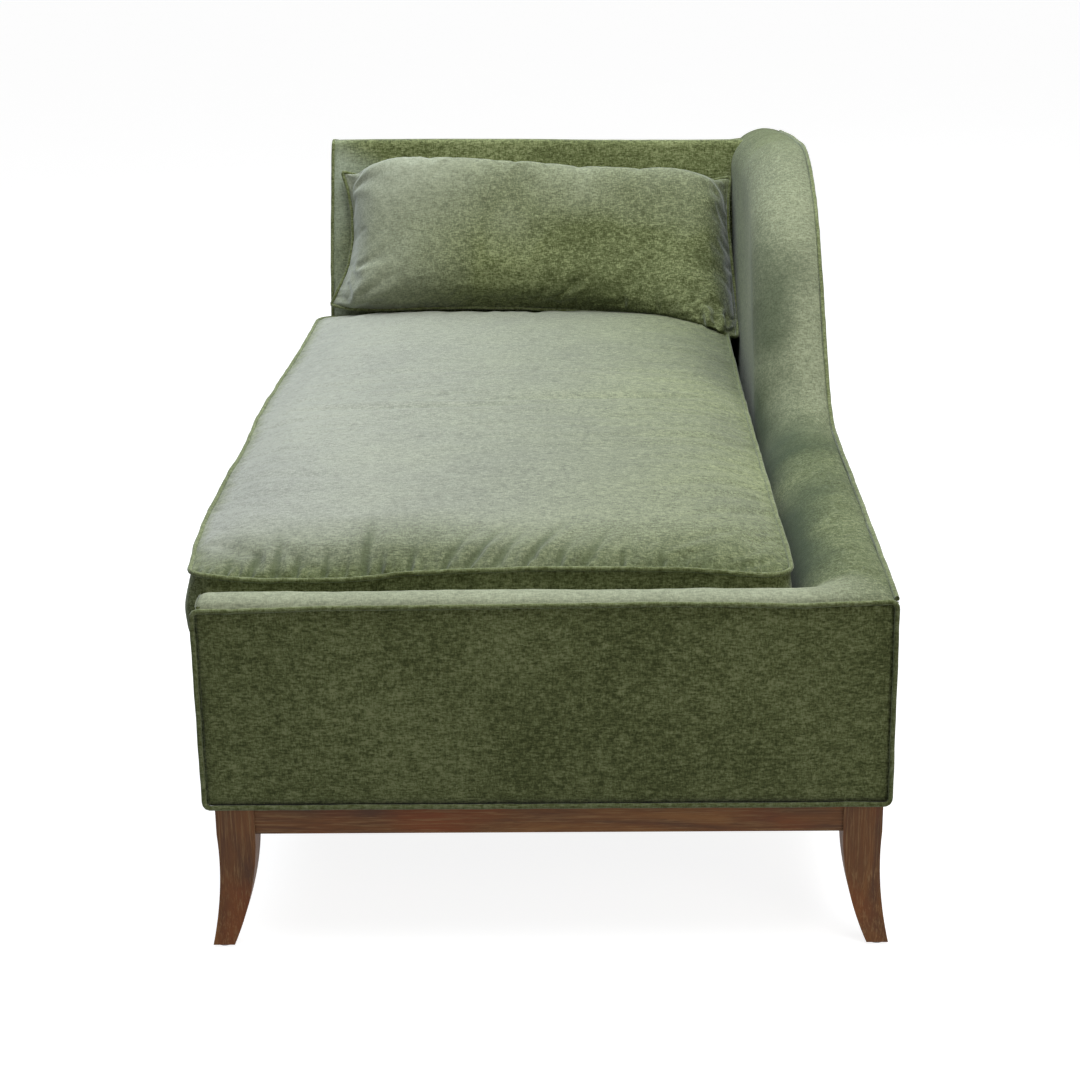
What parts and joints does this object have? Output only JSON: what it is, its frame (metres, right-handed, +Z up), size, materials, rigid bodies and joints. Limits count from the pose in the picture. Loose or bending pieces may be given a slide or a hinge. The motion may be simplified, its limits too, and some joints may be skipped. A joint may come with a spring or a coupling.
{
  "type": "chaise longue",
  "caption": "One-armed chaise longue: low padded footboard, S-swept padded arm, raked back, loose box seat cushion and lumbar pillow on a sabre-leg wooden base.",
  "frame": {"origin": "on the floor, below the middle of the whole piece", "axes": "+X toward the arm, +Y from the foot end to the back, +Z up"},
  "size_m": [0.878, 1.7316, 0.8078],
  "materials": {
    "limed_wood": "matte",
    "zinc_steel": "satin",
    "hardwood_frame": "matte",
    "plywood": "matte",
    "webbing": "matte",
    "black_cloth": "matte",
    "zip_tape": "matte",
    "zip_metal": "satin",
    "velvet_piping": "matte",
    "sage_velvet": "matte",
    "soft_filling": "matte",
    "foam": "matte"
  },
  "bodies": {
    "frame": {"apron_rail_back": "limed_wood", "apron_rail_front": "limed_wood", "apron_rail_left": "limed_wood", "apron_rail_right": "limed_wood", "arm_inner_cover": "sage_velvet", "arm_outer_cover": "sage_velvet", "arm_padding": "foam", "arm_panel": "plywood", "arm_welt": "velvet_piping", "back_inner_cover": "sage_velvet", "back_lower_rail": "hardwood_frame", "back_padding": "foam", "back_post_left": "hardwood_frame", "back_post_right": "hardwood_frame", "back_side_padding": "foam", "back_side_welt": "velvet_piping", "back_top_rail": "hardwood_frame", "back_webbing": "webbing", "base_corner_blocks": "limed_wood", "deck_cover": "sage_velvet", "deck_pad": "foam", "dust_cover": "black_cloth", "foot_glides": "zinc_steel", "footboard_front_cover": "sage_velvet", "footboard_padding": "foam", "footboard_panel": "plywood", "footboard_top_cover": "sage_velvet", "footboard_welt": "velvet_piping", "left_side_cover": "sage_velvet", "leg_back_left": "limed_wood", "leg_back_right": "limed_wood", "leg_frame_bolts": "zinc_steel", "leg_front_left": "limed_wood", "leg_front_right": "limed_wood", "outside_back_cover": "sage_velvet", "outside_back_welt": "velvet_piping", "seat_corner_blocks": "hardwood_frame", "seat_cross_brace": "hardwood_frame", "seat_rail_back": "hardwood_frame", "seat_rail_front": "hardwood_frame", "seat_rail_left": "hardwood_frame", "seat_rail_right": "hardwood_frame", "seat_side_padding": "foam", "seat_webbing": "webbing"},
    "seat_cushion": {"seat_cushion_core": "foam", "seat_cushion_cover": "sage_velvet", "seat_cushion_filling": "soft_filling", "seat_cushion_welt": "velvet_piping", "seat_cushion_zip": "zip_tape"},
    "lumbar_pillow": {"lumbar_pillow_cover": "sage_velvet", "lumbar_pillow_filling": "soft_filling", "lumbar_pillow_welt": "velvet_piping"},
    "zip_slider": {"seat_cushion_zip_slider": "zip_metal"}
  },
  "joints": [
    {"name": "seat_cushion_lift", "type": "slide", "parent": "frame", "child": "seat_cushion", "axis": [0, 0, 1], "range_m": [0, 0.5]},
    {"name": "lumbar_pillow_lift", "type": "slide", "parent": "seat_cushion", "child": "lumbar_pillow", "axis": [0, 0, 1], "range_m": [0, 0.4]},
    {"name": "zip_slide", "type": "slide", "parent": "seat_cushion", "child": "zip_slider", "axis": [1, 0, 0], "range_m": [0, 0.52]}
  ]
}
